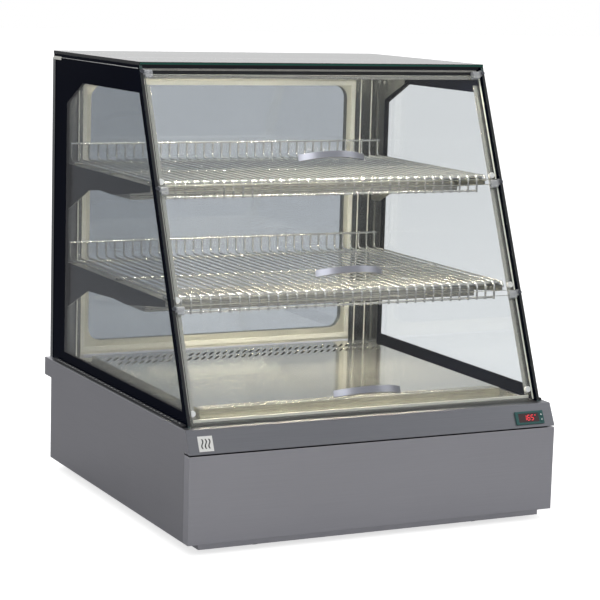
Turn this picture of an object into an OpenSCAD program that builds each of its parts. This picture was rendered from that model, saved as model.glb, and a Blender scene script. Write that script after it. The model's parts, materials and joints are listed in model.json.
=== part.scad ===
// Countertop hot food display case: heated base, three glazed display levels,
// three lift-up front flaps and a hinged rear door.
// Millimetres, +Z up. X runs left to right, Y runs front to rear.
// The origin is on the resting plane, under the middle of the case.

/* [Case] */
// Width of the base
case_w = 780; // [740:10:820]
// Depth from the front panel to the rear lip
case_d = 780; // [780:5:800]
// Height from the resting plane to the top of the roof glass
case_h = 880; // [860:5:890]
// Thickness of the folded sheet
sheet = 1.5; // [1:0.1:1.6]

/* [Base] */
// Height of the rubber feet
foot_h = 10; // [8:1:12]
// Diameter of a rubber foot
foot_dia = 26; // [20:1:32]
// Height of the panels' lower edge
panel_z = 22; // [20:1:26]
// Height of the front panel's upper edge
front_top_z = 187; // [180:1:188]
// Height of the base's top edge
base_z = 232; // [230:1:236]
// How far the control fascia leans back
fascia_lean = 21; // [18:1:24]
// Depth of the base's rear wall, measured from the front
rear_wall_y = 740; // [740:1:745]

/* [Glazing] */
// Thickness of the glass panes
glass_t = 6; // [5:1:6]
// Distance of the side glass from the base's side
glass_inset = 12.5; // [12:0.5:13]
// Lean of the front glazing, in degrees
slope_deg = 22.5; // [22:0.5:23]
// Setback of the front glazing's foot
slope_y = 38; // [36:1:40]
// Thickness of a front flap
flap_t = 5; // [4:0.5:5]
// Spacing of the flap hinges along the slope
flap_pitch = 230; // [228:1:231]

/* [Handles] */
// Length of a bow handle
bow_len = 144; // [120:2:160]
// How far a bow handle stands out
bow_rise = 26; // [22:1:32]
// Width of the bow's strap
bow_w = 13; // [10:1:16]

/* [Shelves] */
// Number of wires across a shelf
wire_count = 37; // [31:1:41]
// Diameter of a shelf wire
wire_dia = 4; // [3:0.5:4]
// Width of a shelf between its outer wires
shelf_w = 722; // [700:2:724]
// Height of the upper shelf brackets' top flange
upper_z = 650; // [645:1:655]
// Height of the lower shelf brackets' top flange
lower_z = 444; // [440:1:450]
// Setback of the upper shelf's front
upper_y = 248; // [240:1:252]
// Setback of the lower shelf's front
lower_y = 164; // [156:1:170]

/* [Hidden] */
$fn = 48;
eps = 0.1;
gap = 0.3;
half_w = case_w / 2;
side_in = half_w - sheet;
glass_x = half_w - glass_inset - glass_t;
glass_out = half_w - glass_inset;
roof_z = case_h - 2 * glass_t;
outer_pane_z = case_h - glass_t;
lip_z = base_z - 38;
fascia_z = front_top_z + 3;
fascia_deg = atan(fascia_lean / (base_z - fascia_z));
fascia_len = norm([fascia_lean, base_z - fascia_z]);
slope_len = (outer_pane_z - base_z) / cos(slope_deg);
roof_y = slope_y + (outer_pane_z - base_z) * tan(slope_deg) - 2;
bar_x = glass_x - 4.5;

// Well and deck
well_front_y = 56;
well_rear_y = 700;
well_x = glass_x - 6;
well_floor_z = base_z - 10;
deck_w = 650;
deck_y = 105;
deck_len = 563;
deck_z = base_z + 18;
slot_pitch = 15.5;
slot_count = 40;
upper_tip_y = upper_y + 14;
lower_tip_y = lower_y + 14;

// Air box and fan
box_x = 300;
box_y = 125;
box_len = 520;
box_z = 120;
fan_y = 385;
fan_dia = 180;
shaft_dia = 8;

// Flaps, counted from the bottom one
first_axis = 222;
flap_d = 3;
axis_d = flap_d + flap_t / 2;
flap_x = glass_x - 5;
pin_dia = 4;
barrel_r = flap_t / 2 + 3;
axis_s = [for (i = [0:2]) first_axis + i * flap_pitch];
pane_low = [6, axis_s[0] + barrel_r + 1, axis_s[1] + barrel_r + 1];
handle_s = [44, pane_low[1] + 50, pane_low[2] + 50];
bumper_s = [27, pane_low[1] + 12, pane_low[2] + 10];
bow_feet = bow_len / 2 - 8;
lip_d = 14;

// Rear door
door_x = 328;
door_y = 753;
door_t = 17;
door_z = base_z + 5;
door_top = 826;
win_x = 303;
win_z = 266;
win_top = 810;
win_r = 28;
door_pin = [-322, 765];
door_pin_dia = 6;

// Controller, measured from the fascia's lower edge
ctl_x = 304;
ctl_s = 6;
ctl_w = 63;
ctl_h = 26;
face_x = 310;
face_s = 10;
face_w = 46;
face_h = 18;
key_x = 358;
key_w = 6.5;
key_h = 7.5;

// Power plate on the rear wall
inlet_x = -330;
inlet_z = 80;
rocker_x = -300;
rocker_z = 105;
rocker_w = 18;
rocker_h = 24;
rocker_tilt = 8;

steel = [0.55, 0.55, 0.58];
polished = [0.72, 0.71, 0.64];
clear = [0.8, 0.86, 0.88, 0.35];

// Moves a shape from front-based coordinates to the case's own frame.
module from_front() {
    translate([0, -case_d / 2, 0]) children();
}

// Puts a shape drawn for the right side (1) on the right or the left (-1).
module on_side(side) {
    if (side > 0) children();
    else mirror([1, 0, 0]) children();
}

module both_sides() {
    children();
    mirror([1, 0, 0]) children();
}

// Box between two corners.
module span(a, b) {
    translate(a) cube(b - a);
}

// Sheet cut to an outline in Y and Z, standing at x.
module upright(points, x, t) {
    translate([x, 0, 0]) rotate([90, 0, 90]) linear_extrude(t) polygon(points);
}

// Cylinder along +X from a point.
module rod_x(from, length, dia) {
    translate(from) rotate([0, 90, 0]) cylinder(h = length, d = dia);
}

// Cylinder along +Y from a point.
module rod_y(from, length, dia) {
    translate(from) rotate([-90, 0, 0]) cylinder(h = length, d = dia);
}

// Frame of the front glazing: x, depth behind the glass edge, way up the slope.
module on_slope() {
    from_front() translate([0, slope_y, base_z]) rotate([-slope_deg, 0, 0]) children();
}

// Frame of the control fascia, laid out in the same way.
module on_fascia() {
    from_front() translate([0, 0, fascia_z]) rotate([-fascia_deg, 0, 0]) children();
}

// ---- Base ----

module base_side(side) {
    fold_y = 25;
    flange = 22;
    behind_fascia = sheet / cos(fascia_deg) + gap;
    color(steel) from_front() on_side(side) {
        upright([[fold_y, panel_z], [rear_wall_y, panel_z], [rear_wall_y, lip_z],
            [case_d, lip_z], [case_d, base_z], [fascia_lean + behind_fascia, base_z],
            [behind_fascia, fascia_z], [fold_y, fascia_z]], side_in, sheet);
        span([side_in - flange, fold_y, panel_z],
            [side_in + eps, rear_wall_y - 2, panel_z + sheet]);
        span([side_in - flange, well_front_y, base_z - sheet],
            [side_in + eps, rear_wall_y - 2, base_z]);
    }
}

module base_side_left() {
    base_side(-1);
}

module base_side_right() {
    base_side(1);
}

module base_front_panel() {
    return_y = 24;
    flange = 20;
    color(steel) from_front() {
        span([-half_w, 0, panel_z], [half_w, sheet, front_top_z]);
        both_sides() span([side_in, 0, panel_z], [half_w, return_y, front_top_z]);
        span([-side_in - eps, 0, panel_z], [side_in + eps, flange, panel_z + sheet]);
        span([-side_in - eps, 0, front_top_z - sheet], [side_in + eps, flange, front_top_z]);
    }
}

module control_fascia() {
    flange = 15;
    inner_x = side_in - 0.5;
    foot_y = 0.8 * sheet;
    brow_y = fascia_lean + 0.3 * sheet;
    color(steel) difference() {
        union() {
            on_fascia() span([-half_w, 0, 0], [half_w, sheet, fascia_len]);
            from_front() {
                span([-inner_x, foot_y, fascia_z], [inner_x, flange, fascia_z + sheet]);
                span([-inner_x, brow_y, base_z - sheet],
                    [inner_x, well_front_y - 0.5, base_z]);
            }
        }
        on_fascia() span([ctl_x + 2, -1, ctl_s + 2],
            [ctl_x + ctl_w - 2, sheet + 1, ctl_s + ctl_h - 2]);
    }
}

module base_rear_panel() {
    louvre_w = 60;
    louvre_h = 5;
    color(steel) from_front() difference() {
        union() {
            span([-side_in + gap, rear_wall_y - sheet, panel_z],
                [side_in - gap, rear_wall_y, lip_z]);
            span([-side_in + gap, rear_wall_y - 14, lip_z - sheet],
                [side_in - gap, rear_wall_y, lip_z]);
        }
        for (col = [0:3], row = [0:7])
            translate([20 + col * 85, rear_wall_y - 3, 60 + row * 14])
                cube([louvre_w, 5, louvre_h]);
        span([rocker_x - 15, rear_wall_y - 3, rocker_z - 18],
            [rocker_x + 15, rear_wall_y + 1, rocker_z + 18]);
        rod_y([inlet_x + 75, rear_wall_y - 3, rocker_z], 5, 20);
    }
}

module rear_lip() {
    lip_x = side_in - gap;
    color(steel) from_front() {
        span([-lip_x, rear_wall_y, lip_z], [lip_x, case_d, lip_z + sheet]);
        span([-lip_x, case_d - sheet, lip_z], [lip_x, case_d, base_z]);
        span([-lip_x, rear_wall_y - sheet, base_z - sheet], [lip_x, case_d, base_z]);
        span([-lip_x, rear_wall_y - sheet, lip_z + 8],
            [lip_x, rear_wall_y, base_z]);
    }
}

module bottom_tray() {
    tray_x = half_w - 25;
    tray_y = 9;
    tray_end = rear_wall_y - 6;
    slot_w = 50;
    color(steel) from_front() difference() {
        span([-tray_x, tray_y, foot_h], [tray_x, tray_end, panel_z]);
        span([-tray_x + sheet, tray_y + sheet, foot_h + sheet],
            [tray_x - sheet, tray_end - sheet, panel_z + 1]);
        for (col = [-2:2], row = [0:5])
            translate([col * 75 - slot_w / 2, fan_y - 60 + row * 22, foot_h - 1])
                cube([slot_w, 8, sheet + 2]);
    }
}

module feet() {
    foot_x = 236;
    color([0.08, 0.08, 0.08]) from_front()
        for (x = [-foot_x, foot_x], y = [50, rear_wall_y - 50])
            translate([x, y, 0]) {
                cylinder(h = 3, d1 = foot_dia - 4, d2 = foot_dia);
                translate([0, 0, 3]) cylinder(h = foot_h - 3, d = foot_dia);
            }
}

// Gutter around the deck: a front strip, a rear strip and two vented side
// strips, set edge to edge with a hairline seam.
module well_frame() {
    seam = 0.2;
    end_x = well_x - sheet - seam;
    upstand_z = base_z + 9;
    rear_y = box_y + box_len;
    vent_x = 336;
    vent_y = box_y + 7;
    vent_pitch = 14;
    vent_size = [20, 5, 4];
    color(polished) from_front() {
        span([-end_x, well_front_y, well_floor_z], [end_x, box_y, well_floor_z + sheet]);
        span([-end_x, well_front_y, well_floor_z],
            [end_x, well_front_y + sheet, upstand_z]);
        span([-end_x, rear_y, well_floor_z],
            [end_x, well_rear_y + sheet, well_floor_z + sheet]);
        span([-end_x, well_rear_y, well_floor_z], [end_x, well_rear_y + sheet, base_z]);
        span([-end_x, well_rear_y, base_z - sheet], [end_x, rear_wall_y - 2, base_z]);
        both_sides() difference() {
            union() {
                span([box_x, box_y + seam, well_floor_z],
                    [well_x, rear_y - seam, well_floor_z + sheet]);
                span([well_x - sheet, well_front_y, well_floor_z],
                    [well_x, well_rear_y + sheet, base_z]);
            }
            for (y = [vent_y:vent_pitch:rear_y - vent_pitch / 2])
                translate([vent_x, y, well_floor_z - 1]) cube(vent_size);
        }
    }
}

module deck_slot(x, y) {
    slot_len = 40;
    slot_w = 5;
    translate([x, y, deck_z - 3]) rotate([0, 0, 53])
        translate([-slot_len / 2, -slot_w / 2, 0]) cube([slot_len, slot_w, 6]);
}

module deck_tray() {
    foot_z = well_floor_z + sheet;
    color(polished) from_front() difference() {
        span([-deck_w / 2, deck_y, foot_z], [deck_w / 2, deck_y + deck_len, deck_z]);
        span([-deck_w / 2 + sheet, deck_y + sheet, foot_z - 1],
            [deck_w / 2 - sheet, deck_y + deck_len - sheet, deck_z - sheet]);
        for (i = [0:slot_count - 1], row = [0:1])
            deck_slot((i - (slot_count - 1) / 2 + row / 2) * slot_pitch - 4,
                deck_y + deck_len - 48 - row * 46);
    }
}

// ---- Air box, heater and fan ----

module air_box() {
    rim = 14;
    color([0.6, 0.6, 0.6]) from_front() difference() {
        union() {
            span([-box_x, box_y, box_z], [box_x, box_y + box_len, well_floor_z]);
            span([-box_x - rim, box_y - rim, well_floor_z - sheet],
                [box_x + rim, box_y + box_len + rim, well_floor_z]);
        }
        span([-box_x + sheet, box_y + sheet, box_z + sheet],
            [box_x - sheet, box_y + box_len - sheet, well_floor_z + 1]);
        translate([0, fan_y, box_z - 1]) cylinder(h = sheet + 2, d = 30);
    }
}

module fan_plate() {
    plate_x = box_x - 10;
    plate_z = box_z + 50;
    inlet_dia = 150;
    color([0.66, 0.66, 0.66]) from_front() difference() {
        union() {
            span([-plate_x, box_y + 10, plate_z],
                [plate_x, box_y + box_len - 10, plate_z + sheet]);
            both_sides() span([plate_x - sheet, box_y + 10, box_z + sheet],
                [plate_x, box_y + box_len - 10, plate_z + sheet]);
        }
        translate([0, fan_y, plate_z - 1]) cylinder(h = sheet + 2, d = inlet_dia);
    }
}

// Sheathed heating tube bent round the fan inlet.
module heater_element() {
    tube = 8;
    run_x = 200;
    near = fan_y - 150;
    far = fan_y + 150;
    bend = 30;
    z = box_z + 50 + sheet + tube / 2;
    color([0.35, 0.33, 0.3]) from_front() {
        both_sides() rod_y([run_x, near, z], far - near, tube);
        rod_x([-run_x + bend, far + bend, z], 2 * (run_x - bend), tube);
        both_sides() translate([run_x - bend, far, z])
            rotate_extrude(angle = 90) translate([bend, 0]) circle(d = tube);
        both_sides() translate([run_x - bend, near, z]) rotate([0, 0, -90])
            rotate_extrude(angle = 90) translate([bend, 0]) circle(d = tube);
        both_sides() rod_x([40, near - bend, z], run_x - bend - 40, tube);
    }
}

module fan_motor() {
    color([0.3, 0.3, 0.32]) from_front() translate([0, fan_y, 0]) {
        translate([0, 0, box_z - 60]) cylinder(h = 58, d = 90);
        translate([0, 0, box_z - 3]) cylinder(h = 3, d = 120);
        translate([0, 0, box_z - 10]) cylinder(h = 50, d = shaft_dia);
    }
}

module fan_rotor() {
    blade_h = 34;
    blades = 12;
    color([0.7, 0.7, 0.72]) from_front() translate([0, fan_y, box_z + 8])
        difference() {
            union() {
                cylinder(h = 2, d = fan_dia);
                cylinder(h = 36, d = 26);
                for (i = [0:blades - 1]) rotate([0, 0, i * 360 / blades])
                    translate([38, 0, 1]) rotate([0, 0, 25]) translate([0, -0.75, 0])
                        cube([46, 1.5, blade_h - 1]);
            }
            translate([0, 0, -1]) cylinder(h = 34, d = shaft_dia + 0.1);
        }
}

module lamp_driver() {
    color([0.85, 0.85, 0.85]) from_front()
        span([130, 40, foot_h + sheet], [290, 95, foot_h + sheet + 34]);
}

// ---- Controls ----

module controller_body() {
    color([0.1, 0.12, 0.12]) on_fascia()
        span([ctl_x + 3, sheet, ctl_s + 3], [ctl_x + ctl_w - 3, 52, ctl_s + ctl_h - 3]);
}

module key_hole(row) {
    translate([key_x, -5, face_s + row * 10 - 0.4])
        cube([key_w + 0.8, 10, key_h + 0.8]);
}

module controller_bezel() {
    color([0.08, 0.28, 0.28]) on_fascia() difference() {
        span([ctl_x, -3, ctl_s], [ctl_x + ctl_w, 0, ctl_s + ctl_h]);
        span([face_x, -4, face_s], [face_x + face_w, -1, face_s + face_h]);
        for (row = [0, 1]) key_hole(row);
    }
}

module controller_window() {
    color([0.3, 0.02, 0.03]) on_fascia()
        span([face_x, -2.6, face_s], [face_x + face_w, -1, face_s + face_h]);
}

module key(row) {
    color([0.12, 0.34, 0.34]) on_fascia()
        translate([key_x + 0.4, -3.8, face_s + row * 10]) cube([key_w, 2.6, key_h]);
}

module key_up() {
    key(1);
}

module key_down() {
    key(0);
}

module badge_plate() {
    badge = 29;
    color([0.85, 0.85, 0.83]) on_fascia()
        span([-half_w + 20.5, -1, 5], [-half_w + 20.5 + badge, 0, 5 + badge]);
}

// Cable entry and switch frame on the rear wall.
module power_inlet() {
    wall = rear_wall_y;
    color([0.07, 0.07, 0.07]) from_front() difference() {
        union() {
            span([inlet_x, wall, inlet_z], [inlet_x + 100, wall + 2, inlet_z + 50]);
            span([rocker_x - 14, wall - 16, rocker_z - 17],
                [rocker_x + 14, wall + 3, rocker_z + 17]);
            rod_y([inlet_x + 75, wall - 14, rocker_z], 26, 18);
            rod_y([inlet_x + 75, wall, rocker_z], 8, 26);
        }
        span([rocker_x - rocker_w / 2 - 0.4, wall - 14, rocker_z - rocker_h / 2 - 1.2],
            [rocker_x + rocker_w / 2 + 0.4, wall + 4, rocker_z + rocker_h / 2 + 1.2]);
        rod_y([inlet_x + 75, wall - 15, rocker_z], 30, 9);
    }
}

// Two faces meeting in a shallow valley, tilted to the switch's on side.
module rocker_switch() {
    h = rocker_h / 2;
    color([0.75, 0.1, 0.06]) from_front()
        translate([rocker_x, rear_wall_y - 4, rocker_z]) rotate([rocker_tilt, 0, 0])
            upright([[-6, -5], [7, -h], [9, -h], [6, 0], [9, h], [7, h], [-6, 5]],
                -rocker_w / 2, rocker_w);
}

// ---- Rear frame, roof and side glass ----

// Folded corner post that wraps the side glass's rear edge.
module rear_post(side) {
    face_y = 748;
    foot = [0, 0, base_z];
    tall = roof_z - 2 - base_z;
    in_x = glass_x - 2;
    color(polished) from_front() on_side(side) translate(foot) {
        span([in_x, face_y - 46, 0], [in_x + sheet, case_d - 2, tall]);
        span([322, face_y, 0], [in_x + sheet, face_y + sheet, tall]);
        span([331, face_y - 4, 0], [334, face_y + eps, tall]);
        span([335, face_y, 0], [335 + sheet, face_y + 22, tall]);
        span([in_x, case_d - 3.5, 0], [glass_out + 1.5, case_d - 2, tall]);
        span([glass_out + gap, case_d - 16, 0], [glass_out + 1.5, case_d - 2, tall]);
    }
}

module rear_post_left() {
    rear_post(-1);
}

module rear_post_right() {
    rear_post(1);
}

module top_rear_rail() {
    rail_x = glass_x - 2.3;
    low = 831;
    front = 735;
    back = case_d - 4;
    color(polished) from_front() {
        span([-rail_x, front, low], [rail_x, front + sheet, roof_z]);
        span([-rail_x, front, roof_z - sheet], [rail_x, back, roof_z]);
        span([-334, back - sheet, low], [334, back, roof_z]);
        span([-334, 752, low], [334, back, low + sheet]);
    }
}

// Channel under the roof's front edge; the lamp sits in it.
module top_front_bar() {
    color(polished) from_front() difference() {
        span([-bar_x, roof_y + 10, roof_z - 20], [bar_x, roof_y + 34, roof_z]);
        span([-bar_x + 2, roof_y + 12, roof_z - 21], [bar_x - 2, roof_y + 32, roof_z - 2]);
    }
}

module top_lamp() {
    color([1, 0.95, 0.8]) from_front()
        span([-bar_x + 2, roof_y + 12, roof_z - 19], [bar_x - 2, roof_y + 32, roof_z - 10]);
}

module roof_glass_outer() {
    color(clear) from_front()
        span([-glass_out + 1.5, roof_y, outer_pane_z], [glass_out - 1.5, case_d, case_h]);
}

module roof_glass_inner() {
    color(clear) from_front()
        span([-glass_x + gap, roof_y + 6, roof_z], [glass_x - gap, case_d - 4, outer_pane_z]);
}

module side_glass(side) {
    back = case_d - 4;
    color(clear) from_front() on_side(side)
        upright([[slope_y, base_z], [back, base_z], [back, outer_pane_z],
            [roof_y + 2, outer_pane_z]], glass_x, glass_t);
}

module side_glass_left() {
    side_glass(-1);
}

module side_glass_right() {
    side_glass(1);
}

// Angle strip inside the side glass, along its slanted edge.
module edge_profile(side) {
    low = 18;
    high = slope_len - 34;
    color(polished) on_slope() on_side(side) {
        span([glass_x - 1.8, lip_d, low], [glass_x - gap, lip_d + 16, high]);
        span([glass_x - 16.5, lip_d, low], [glass_x - gap, lip_d + sheet, high]);
    }
}

module edge_profile_left() {
    edge_profile(-1);
}

module edge_profile_right() {
    edge_profile(1);
}

module corner_gussets() {
    back = 734;
    color(polished) from_front() both_sides()
        upright([[back, 782], [back, roof_z - 2], [612, roof_z - 2], [612, 822], [700, 782]],
            glass_x - 3.6, sheet);
}

// ---- Shelves ----

// Cantilever plate with a perforated flange that carries the shelf.
module bracket(side, top_z, tip_y) {
    plate_x = glass_x - 5.5;
    plate_t = 2;
    flange_x = 330;
    back = 742;
    hole_pitch = 25;
    holes = floor((690 - tip_y) / hole_pitch);
    color([0.5, 0.52, 0.52]) from_front() on_side(side) difference() {
        union() {
            upright([[tip_y, top_z], [tip_y, top_z - 12], [tip_y + 195, top_z - 38],
                [tip_y + 265, top_z - 36], [586, top_z - 43], [706, top_z - 94],
                [back, top_z - 94], [back, top_z]], plate_x, plate_t);
            span([flange_x, tip_y, top_z - 2], [plate_x + plate_t, 700, top_z]);
            span([plate_x, 706, top_z - 90], [glass_x - 2, 740, top_z - 4]);
        }
        for (i = [1:holes])
            translate([flange_x + 17, tip_y + i * hole_pitch, top_z - 3]) cylinder(h = 4, d = 9);
    }
}

module bracket_upper_left() {
    bracket(-1, upper_z, upper_tip_y);
}

module bracket_upper_right() {
    bracket(1, upper_z, upper_tip_y);
}

module bracket_lower_left() {
    bracket(-1, lower_z, lower_tip_y);
}

module bracket_lower_right() {
    bracket(1, lower_z, lower_tip_y);
}

// Quarter bend of a wire, in the Y-Z plane, centred on the bend's middle.
module wire_bend(y, z, turn) {
    bend_r = 10;
    translate([0, y, z]) rotate([turn, 0, 0]) rotate([0, 90, 0]) rotate([0, 0, 90])
        rotate_extrude(angle = 90) translate([bend_r, 0]) circle(d = wire_dia);
}

// One wire: rear gallery riser, long run, front bend and, if any, apron.
module shelf_wire(run_z, front_y, rear_y, apron) {
    bend_r = 10;
    gallery = 37;
    translate([0, rear_y, run_z + bend_r]) cylinder(h = gallery - bend_r, d = wire_dia);
    wire_bend(rear_y - bend_r, run_z + bend_r, -90);
    rod_y([0, front_y + bend_r, run_z], rear_y - front_y - 2 * bend_r, wire_dia);
    wire_bend(front_y + bend_r, run_z - bend_r, 90);
    if (apron > bend_r)
        translate([0, front_y, run_z - apron]) cylinder(h = apron - bend_r, d = wire_dia);
}

// Wires welded on cross rods; the rods rest on the bracket flanges.
module wire_shelf(top_z, front_y) {
    rod_dia = 6;
    rear_y = 712;
    apron = 33;
    run_z = top_z + rod_dia + wire_dia / 2 - 0.6;
    side_x = shelf_w / 2;
    pitch = shelf_w / (wire_count - 1);
    color([0.75, 0.75, 0.74]) from_front() {
        for (i = [0:wire_count - 1]) translate([-side_x + i * pitch, 0, 0])
            shelf_wire(run_z, front_y + 2, rear_y, i > 0 && i < wire_count - 1 ? apron : 0);
        for (y = [front_y + 22, front_y + 34, (front_y + rear_y) / 2, rear_y - 24])
            rod_x([-side_x - 3, y, top_z + rod_dia / 2], shelf_w + 6, rod_dia);
        rod_x([-side_x + pitch - 3, front_y + 2 + 3.9, run_z - 30],
            shelf_w - 2 * pitch + 6, wire_dia);
        rod_x([-side_x - 3, rear_y - 3.9, run_z + 34], shelf_w + 6, wire_dia);
    }
}

module wire_shelf_upper() {
    wire_shelf(upper_z, upper_y);
}

module wire_shelf_lower() {
    wire_shelf(lower_z, lower_y);
}

// Reflector trough that spans the brackets under a shelf.
module lamp_housing(top_z, tip_y) {
    front = tip_y + 105;
    back = tip_y + 192;
    end_x = glass_x - 5.5;
    skin = 1.2;
    color([0.7, 0.7, 0.66]) from_front() difference() {
        span([-end_x, front, top_z - 38], [end_x, back, top_z - 12]);
        span([-end_x + skin, front + skin, top_z - 39],
            [end_x - skin, back - skin, top_z - 12 - skin]);
    }
}

module lamp_housing_upper() {
    lamp_housing(upper_z, upper_tip_y);
}

module lamp_housing_lower() {
    lamp_housing(lower_z, lower_tip_y);
}

module heat_lamps() {
    end_x = glass_x - 5.5 - 1.2;
    color([0.95, 0.9, 0.8]) from_front()
        for (at = [[upper_z, upper_tip_y], [lower_z, lower_tip_y]]) {
            rod_x([-end_x + 20, at[1] + 148, at[0] - 27], 2 * (end_x - 20), 10);
            both_sides() span([end_x - 24, at[1] + 140, at[0] - 35],
                [end_x, at[1] + 156, at[0] - 19]);
        }
}

// ---- Front flaps ----

// Fixed hinge block and pin at each upper corner of every flap.
module flap_pivots() {
    pin_in = 15;
    color([0.85, 0.87, 0.88]) on_slope() both_sides() for (s = axis_s) {
        span([glass_x - 4.1, 0, s - 6], [glass_x, lip_d, s + 6]);
        rod_x([glass_x - pin_in, axis_d, s], pin_in - 4, pin_dia);
    }
}

module flap_bumpers() {
    color([0.95, 0.95, 0.95]) on_slope() both_sides() for (s = bumper_s)
        translate([glass_x - 10.5, lip_d, s]) rotate([90, 0, 0])
            cylinder(h = lip_d - flap_d - flap_t - gap, d = 12);
}

module flap_glass(i) {
    color(clear) on_slope() difference() {
        span([-flap_x, flap_d, pane_low[i]], [flap_x, flap_d + flap_t, axis_s[i] - 4]);
        for (x = [-bow_feet, bow_feet]) rod_y([x, flap_d - 1, handle_s[i]], flap_t + 2, 5);
    }
}

module flap_glass_upper() {
    flap_glass(2);
}

module flap_glass_middle() {
    flap_glass(1);
}

module flap_glass_lower() {
    flap_glass(0);
}

// Crescent between two arcs, with screws through the glass.
module flap_handle(i) {
    inner_half = bow_len / 2 - 12;
    inner_rise = bow_rise - 5;
    outer_r = (pow(bow_len / 2, 2) + pow(bow_rise, 2)) / (2 * bow_rise);
    inner_r = (pow(inner_half, 2) + pow(inner_rise, 2)) / (2 * inner_rise);
    color([0.8, 0.8, 0.82]) on_slope() translate([0, flap_d, handle_s[i]]) {
        difference() {
            translate([0, outer_r - bow_rise, -bow_w / 2])
                cylinder(h = bow_w, r = outer_r, $fn = 96);
            translate([0, inner_r - inner_rise, -bow_w / 2 - 1])
                cylinder(h = bow_w + 2, r = inner_r, $fn = 96);
            span([-outer_r - 1, 0, -bow_w], [outer_r + 1, 2 * outer_r + 1, bow_w]);
        }
        for (x = [-bow_feet, bow_feet]) {
            rod_y([x, -1, 0], flap_t + 2, 4);
            rod_y([x, flap_t, 0], 3, 9);
        }
    }
}

module flap_handle_upper() {
    flap_handle(2);
}

module flap_handle_middle() {
    flap_handle(1);
}

module flap_handle_lower() {
    flap_handle(0);
}

// Clamps on the glass corners, bored for the hinge pins.
module flap_clips(i) {
    out_x = glass_x - 4.7;
    clip_w = 15;
    clip_h = 10;
    color([0.86, 0.88, 0.9]) on_slope() both_sides() difference() {
        union() {
            rod_x([out_x - clip_w, axis_d, axis_s[i]], clip_w, 2 * barrel_r);
            span([out_x - clip_w, axis_d - barrel_r, axis_s[i] - clip_h],
                [out_x, axis_d + barrel_r, axis_s[i]]);
        }
        span([out_x - clip_w - 1, flap_d - 0.05, axis_s[i] - clip_h - 1],
            [out_x + 1, flap_d + flap_t + 0.05, axis_s[i] - 4 + 0.05]);
        rod_x([out_x - clip_w + 4, axis_d, axis_s[i]], clip_w, pin_dia + 0.1);
    }
}

module flap_clips_upper() {
    flap_clips(2);
}

module flap_clips_middle() {
    flap_clips(1);
}

module flap_clips_lower() {
    flap_clips(0);
}

// ---- Rear door ----

// Window outline with rounded corners, from y over the thickness t.
module window_block(y, t) {
    span([-win_x + win_r, y, win_z], [win_x - win_r, y + t, win_top]);
    span([-win_x, y, win_z + win_r], [win_x, y + t, win_top - win_r]);
    for (x = [-win_x + win_r, win_x - win_r], z = [win_z + win_r, win_top - win_r])
        rod_y([x, y, z], t, 2 * win_r);
}

module door_frame() {
    bore = door_pin_dia + 0.1;
    color(polished) from_front() difference() {
        span([-door_x, door_y, door_z], [door_x, door_y + door_t, door_top]);
        window_block(door_y - 1, door_t + 2);
        translate([door_pin[0], door_pin[1], door_z - 1]) cylinder(h = 18, d = bore);
        translate([door_pin[0], door_pin[1], door_top - 17]) cylinder(h = 18, d = bore);
    }
}

module door_glass() {
    color(clear) from_front() {
        window_block(door_y + 2, 4);
        window_block(door_y + 10, 4);
    }
}

module door_handle() {
    face = door_y + door_t;
    low = 470;
    high = 620;
    color([0.8, 0.8, 0.82]) from_front() {
        span([306, face, low], [309, face + 9, high]);
        span([306, face + 6.6, low], [325, face + 9, high]);
    }
}

// Fixed plates and pins at the door's lower and upper corners.
module door_hinges() {
    color([0.6, 0.6, 0.6]) from_front() {
        span([-333, 756, base_z], [-311, 775, door_z - 2]);
        translate([door_pin[0], door_pin[1], door_z - 3])
            cylinder(h = 18, d = door_pin_dia);
        span([-333, 756, door_top + 2], [-311, 774, 831]);
        translate([door_pin[0], door_pin[1], door_top - 15])
            cylinder(h = 18, d = door_pin_dia);
    }
}

base_side_left();
base_side_right();
base_front_panel();
control_fascia();
base_rear_panel();
rear_lip();
bottom_tray();
feet();
well_frame();
deck_tray();
air_box();
heater_element();
fan_motor();
fan_plate();
fan_rotor();
lamp_driver();
controller_body();
controller_bezel();
controller_window();
key_up();
key_down();
badge_plate();
power_inlet();
rocker_switch();
rear_post_left();
rear_post_right();
top_rear_rail();
top_front_bar();
top_lamp();
roof_glass_outer();
roof_glass_inner();
side_glass_left();
side_glass_right();
edge_profile_left();
edge_profile_right();
corner_gussets();
bracket_upper_left();
bracket_upper_right();
bracket_lower_left();
bracket_lower_right();
wire_shelf_upper();
wire_shelf_lower();
lamp_housing_upper();
lamp_housing_lower();
heat_lamps();
flap_pivots();
flap_bumpers();
flap_glass_upper();
flap_glass_middle();
flap_glass_lower();
flap_handle_upper();
flap_handle_middle();
flap_handle_lower();
flap_clips_upper();
flap_clips_middle();
flap_clips_lower();
door_frame();
door_glass();
door_handle();
door_hinges();
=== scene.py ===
import json
import math

import bpy
from mathutils import Matrix, Vector


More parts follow.
